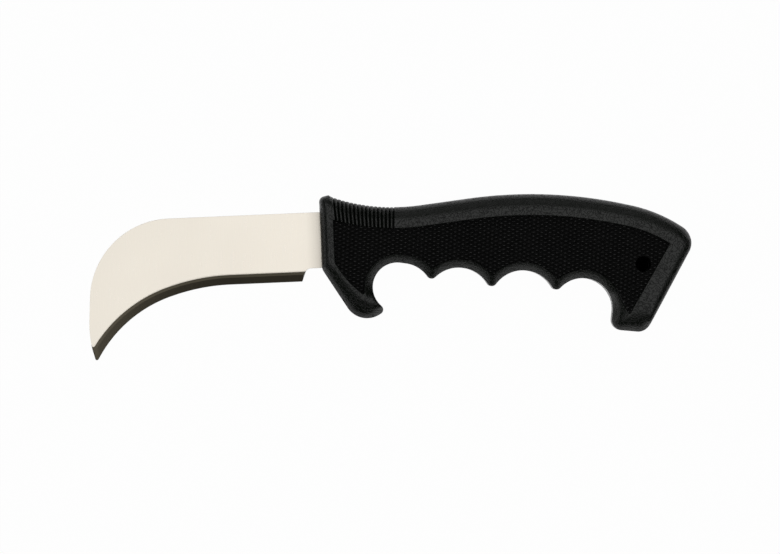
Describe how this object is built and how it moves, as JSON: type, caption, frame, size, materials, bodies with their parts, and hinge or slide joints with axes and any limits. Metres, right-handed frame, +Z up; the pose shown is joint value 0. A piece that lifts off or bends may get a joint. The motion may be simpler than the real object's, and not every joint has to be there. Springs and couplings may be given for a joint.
{
  "type": "hook knife",
  "caption": "Fixed-blade hook knife: flat steel hawkbill blade ground along its inner edge, in a moulded finger-groove handle with guard, ribbed thumb ramp, chequered panels and a hanging hole.",
  "frame": {"origin": "on the floor under the middle of the knife as it lies on its side", "axes": "+X along the straight spine towards the butt, +Y towards the spine, +Z up through the thickness of the handle"},
  "size_m": [0.2112, 0.0542, 0.02],
  "materials": {
    "steel": "fine brushed, bright",
    "shell": "fine moulded grain, black",
    "grip": "chequered, black",
    "rivet": "plain"
  },
  "bodies": {
    "root": {"blade": "steel", "shell_left": "shell", "shell_right": "shell", "panel_left": "grip", "panel_right": "grip", "rivet_studs": "rivet", "rivet_sleeves": "rivet"}
  },
  "joints": []
}
